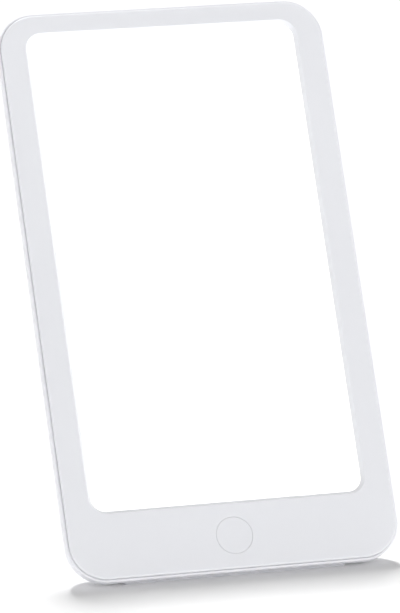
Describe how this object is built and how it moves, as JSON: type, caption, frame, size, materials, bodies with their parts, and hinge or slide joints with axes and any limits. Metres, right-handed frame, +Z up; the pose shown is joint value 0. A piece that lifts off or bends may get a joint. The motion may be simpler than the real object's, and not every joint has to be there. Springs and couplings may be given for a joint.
{
  "type": "light therapy lamp",
  "caption": "Flat light therapy lamp: a lit rectangular panel in a slim white case, leaning back on a folding rear leg, with a push button below the light.",
  "frame": {"origin": "middle of the front foot's underside, on the surface that the lamp stands on", "axes": "+X to the lamp's left-to-right seen from the front, +Y from front to back, +Z up; the lit face looks towards -Y and up"},
  "size_m": [0.14, 0.1288, 0.2125],
  "materials": {
    "housing_abs": "white moulded ABS, fine satin texture",
    "bezel_abs": "white moulded ABS, satin",
    "button_abs": "white moulded ABS, satin, slightly smoother than the bezel",
    "leg_abs": "white moulded ABS, fine satin texture",
    "opal_acrylic": "opal acrylic, evenly lit",
    "gasket_foam": "white closed-cell foam",
    "prism_film": "clear polyester film with fine prisms",
    "clear_acrylic": "clear cast acrylic with white print dots on its back",
    "reflector": "white foamed polyester sheet",
    "spreader_aluminium": "plain rolled and bent sheet",
    "metal_board": "metal-core board with white solder mask",
    "led_package": "white reflector cup with pale yellow phosphor",
    "screw_steel": "zinc-plated steel",
    "board_laminate": "glass-epoxy laminate with green solder mask",
    "ferrite": "pressed ferrite, dull grey-black",
    "capacitor_can": "drawn aluminium can",
    "chip_epoxy": "black moulded epoxy",
    "connector_nylon": "natural nylon",
    "wire_pvc": "PVC insulation, one red and one black wire",
    "jack_pbt": "black glass-filled polyester",
    "jack_nickel": "nickel-plated brass",
    "switch_nylon": "black nylon",
    "plunger_nylon": "natural nylon",
    "foot_rubber": "pale grey silicone rubber, matt",
    "pin_steel": "ground steel rod",
    "washer_acetal": "natural acetal"
  },
  "bodies": {
    "lamp_body": {"rear_housing": "housing_abs", "front_bezel": "bezel_abs", "diffuser_gasket": "gasket_foam", "diffuser_panel": "opal_acrylic", "prism_film": "prism_film", "light_guide": "clear_acrylic", "reflector_sheet": "reflector", "heat_spreader": "spreader_aluminium", "led_board_right": "metal_board", "led_board_left": "metal_board", "leds_right": "led_package", "leds_left": "led_package", "spreader_screws": "screw_steel", "control_board": "board_laminate", "board_screws": "screw_steel", "driver_inductor": "ferrite", "filter_capacitors": "capacitor_can", "driver_chip": "chip_epoxy", "controller_chip": "chip_epoxy", "led_connectors": "connector_nylon", "led_wires_right": "wire_pvc", "led_wires_left": "wire_pvc", "dc_jack_body": "jack_pbt", "dc_jack_pin": "jack_nickel", "dc_jack_wires": "wire_pvc", "tact_switch_body": "switch_nylon", "case_screws": "screw_steel", "front_foot_strip": "foot_rubber", "hinge_pin": "pin_steel", "hinge_washers": "washer_acetal"},
    "button": {"power_button": "button_abs", "switch_plunger": "plunger_nylon"},
    "stand": {"stand_leg": "leg_abs", "stand_foot_pad": "foot_rubber"}
  },
  "joints": [
    {"name": "button_press", "type": "slide", "parent": "lamp_body", "child": "button", "axis": [0, 0.866, -0.5], "range_m": [0, 0.0006], "stiffness_N_per_m": 600},
    {"name": "stand_fold", "type": "hinge", "parent": "lamp_body", "child": "stand", "pos_m": [0, 0.0663, 0.10844], "axis": [-1, 0, 0], "range_deg": [0, 48]}
  ]
}
